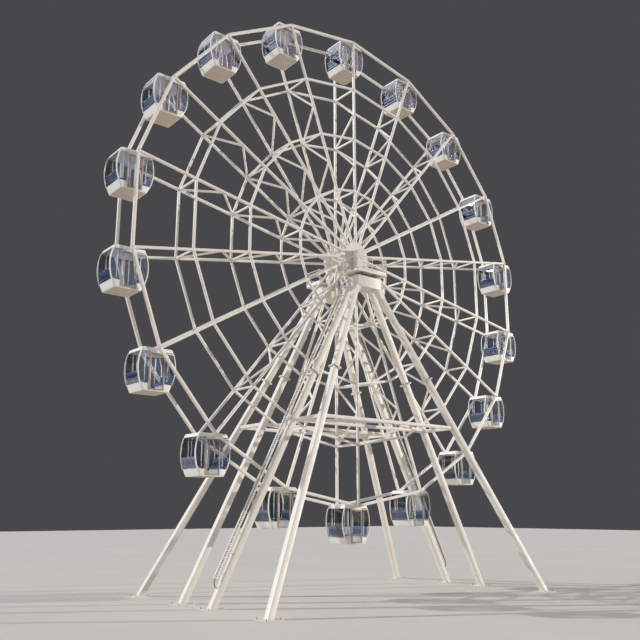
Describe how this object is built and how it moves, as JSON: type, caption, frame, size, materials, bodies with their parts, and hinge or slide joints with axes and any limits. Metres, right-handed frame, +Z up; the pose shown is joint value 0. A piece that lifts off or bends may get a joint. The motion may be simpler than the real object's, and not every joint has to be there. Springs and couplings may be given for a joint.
{
  "type": "ferris wheel",
  "caption": "Park ferris wheel on two four-legged towers, with level barrel-shaped glazed cabins between two braced lattice rims.",
  "frame": {"origin": "on the ground, under the middle of the wheel", "axes": "+X across the wheel to the right seen from the front, +Y along the shaft to the back, +Z up"},
  "size_m": [27.2, 11.36, 30.0411],
  "materials": {
    "tower_paint": "satin cream paint, lightly weathered",
    "wheel_paint": "satin cream paint",
    "bearing_paint": "satin cream paint with greasy edges",
    "cabin_shell": "glossy white moulded shell",
    "cabin_floor": "matt tan-grey paint",
    "cabin_glass": "clear, blue tinted and reflective",
    "door_frame": "satin brown paint",
    "seal": "matt black rubber",
    "seat": "blue moulded plastic",
    "white_trim": "gloss white paint",
    "bolt_steel": "galvanised steel",
    "cable": "black cable sheath"
  },
  "bodies": {
    "towers": {"front_left_outer_leg": "tower_paint", "front_left_inner_leg": "tower_paint", "front_right_outer_leg": "tower_paint", "front_right_inner_leg": "tower_paint", "front_inner_tie": "tower_paint", "front_outer_tie": "tower_paint", "front_left_side_tie": "tower_paint", "front_right_side_tie": "tower_paint", "front_tower_head": "tower_paint", "front_service_platform": "tower_paint", "front_bearing_housing": "bearing_paint", "front_ladder": "tower_paint", "back_left_outer_leg": "tower_paint", "back_left_inner_leg": "tower_paint", "back_right_outer_leg": "tower_paint", "back_right_inner_leg": "tower_paint", "back_inner_tie": "tower_paint", "back_outer_tie": "tower_paint", "back_left_side_tie": "tower_paint", "back_right_side_tie": "tower_paint", "back_tower_head": "tower_paint", "back_service_platform": "tower_paint", "back_bearing_housing": "bearing_paint", "back_ladder": "tower_paint"},
    "wheel": {"front_wheel_frame": "wheel_paint", "back_wheel_frame": "wheel_paint", "wheel_bracing": "wheel_paint", "hub_shaft": "bearing_paint"},
    "cabin_01": {"cabin_01": "cabin_shell"},
    "cabin_01_door": {"cabin_01_door": "door_frame"},
    "cabin_02": {"cabin_02": "cabin_shell"},
    "cabin_03": {"cabin_03": "cabin_shell"},
    "cabin_04": {"cabin_04": "cabin_shell"},
    "cabin_05": {"cabin_05": "cabin_shell"},
    "cabin_06": {"cabin_06": "cabin_shell"},
    "cabin_07": {"cabin_07": "cabin_shell"},
    "cabin_08": {"cabin_08": "cabin_shell"},
    "cabin_09": {"cabin_09": "cabin_shell"},
    "cabin_10": {"cabin_10": "cabin_shell"},
    "cabin_11": {"cabin_11": "cabin_shell"},
    "cabin_12": {"cabin_12": "cabin_shell"},
    "cabin_13": {"cabin_13": "cabin_shell"},
    "cabin_14": {"cabin_14": "cabin_shell"},
    "cabin_15": {"cabin_15": "cabin_shell"},
    "cabin_16": {"cabin_16": "cabin_shell"},
    "cabin_17": {"cabin_17": "cabin_shell"},
    "cabin_18": {"cabin_18": "cabin_shell"}
  },
  "joints": [
    {"name": "wheel_spin", "type": "hinge", "parent": "towers", "child": "wheel", "pos_m": [0, 0, 17.07], "axis": [0, 1, 0], "continuous": true},
    {"name": "cabin_01_pivot", "type": "hinge", "parent": "wheel", "child": "cabin_01", "pos_m": [0, 0, 4.17], "axis": [0, 1, 0], "continuous": true},
    {"name": "cabin_02_pivot", "type": "hinge", "parent": "wheel", "child": "cabin_02", "pos_m": [4.41206, 0, 4.94797], "axis": [0, 1, 0], "continuous": true},
    {"name": "cabin_03_pivot", "type": "hinge", "parent": "wheel", "child": "cabin_03", "pos_m": [8.29196, 0, 7.18803], "axis": [0, 1, 0], "continuous": true},
    {"name": "cabin_04_pivot", "type": "hinge", "parent": "wheel", "child": "cabin_04", "pos_m": [11.17173, 0, 10.62], "axis": [0, 1, 0], "continuous": true},
    {"name": "cabin_05_pivot", "type": "hinge", "parent": "wheel", "child": "cabin_05", "pos_m": [12.70402, 0, 14.82994], "axis": [0, 1, 0], "continuous": true},
    {"name": "cabin_06_pivot", "type": "hinge", "parent": "wheel", "child": "cabin_06", "pos_m": [12.70402, 0, 19.31006], "axis": [0, 1, 0], "continuous": true},
    {"name": "cabin_07_pivot", "type": "hinge", "parent": "wheel", "child": "cabin_07", "pos_m": [11.17173, 0, 23.52], "axis": [0, 1, 0], "continuous": true},
    {"name": "cabin_08_pivot", "type": "hinge", "parent": "wheel", "child": "cabin_08", "pos_m": [8.29196, 0, 26.95197], "axis": [0, 1, 0], "continuous": true},
    {"name": "cabin_09_pivot", "type": "hinge", "parent": "wheel", "child": "cabin_09", "pos_m": [4.41206, 0, 29.19203], "axis": [0, 1, 0], "continuous": true},
    {"name": "cabin_10_pivot", "type": "hinge", "parent": "wheel", "child": "cabin_10", "pos_m": [0, 0, 29.97], "axis": [0, 1, 0], "continuous": true},
    {"name": "cabin_11_pivot", "type": "hinge", "parent": "wheel", "child": "cabin_11", "pos_m": [-4.41206, 0, 29.19203], "axis": [0, 1, 0], "continuous": true},
    {"name": "cabin_12_pivot", "type": "hinge", "parent": "wheel", "child": "cabin_12", "pos_m": [-8.29196, 0, 26.95197], "axis": [0, 1, 0], "continuous": true},
    {"name": "cabin_13_pivot", "type": "hinge", "parent": "wheel", "child": "cabin_13", "pos_m": [-11.17173, 0, 23.52], "axis": [0, 1, 0], "continuous": true},
    {"name": "cabin_14_pivot", "type": "hinge", "parent": "wheel", "child": "cabin_14", "pos_m": [-12.70402, 0, 19.31006], "axis": [0, 1, 0], "continuous": true},
    {"name": "cabin_15_pivot", "type": "hinge", "parent": "wheel", "child": "cabin_15", "pos_m": [-12.70402, 0, 14.82994], "axis": [0, 1, 0], "continuous": true},
    {"name": "cabin_16_pivot", "type": "hinge", "parent": "wheel", "child": "cabin_16", "pos_m": [-11.17173, 0, 10.62], "axis": [0, 1, 0], "continuous": true},
    {"name": "cabin_17_pivot", "type": "hinge", "parent": "wheel", "child": "cabin_17", "pos_m": [-8.29196, 0, 7.18803], "axis": [0, 1, 0], "continuous": true},
    {"name": "cabin_18_pivot", "type": "hinge", "parent": "wheel", "child": "cabin_18", "pos_m": [-4.41206, 0, 4.94797], "axis": [0, 1, 0], "continuous": true},
    {"name": "cabin_01_door_slide", "type": "slide", "parent": "cabin_01", "child": "cabin_01_door", "axis": [1, 0, 0], "range_m": [0, 0.66]}
  ],
  "couplings": [
    {"joint": "cabin_01_pivot", "follows": "wheel_spin", "ratio": -1},
    {"joint": "cabin_02_pivot", "follows": "wheel_spin", "ratio": -1},
    {"joint": "cabin_03_pivot", "follows": "wheel_spin", "ratio": -1},
    {"joint": "cabin_04_pivot", "follows": "wheel_spin", "ratio": -1},
    {"joint": "cabin_05_pivot", "follows": "wheel_spin", "ratio": -1},
    {"joint": "cabin_06_pivot", "follows": "wheel_spin", "ratio": -1},
    {"joint": "cabin_07_pivot", "follows": "wheel_spin", "ratio": -1},
    {"joint": "cabin_08_pivot", "follows": "wheel_spin", "ratio": -1},
    {"joint": "cabin_09_pivot", "follows": "wheel_spin", "ratio": -1},
    {"joint": "cabin_10_pivot", "follows": "wheel_spin", "ratio": -1},
    {"joint": "cabin_11_pivot", "follows": "wheel_spin", "ratio": -1},
    {"joint": "cabin_12_pivot", "follows": "wheel_spin", "ratio": -1},
    {"joint": "cabin_13_pivot", "follows": "wheel_spin", "ratio": -1},
    {"joint": "cabin_14_pivot", "follows": "wheel_spin", "ratio": -1},
    {"joint": "cabin_15_pivot", "follows": "wheel_spin", "ratio": -1},
    {"joint": "cabin_16_pivot", "follows": "wheel_spin", "ratio": -1},
    {"joint": "cabin_17_pivot", "follows": "wheel_spin", "ratio": -1},
    {"joint": "cabin_18_pivot", "follows": "wheel_spin", "ratio": -1}
  ]
}
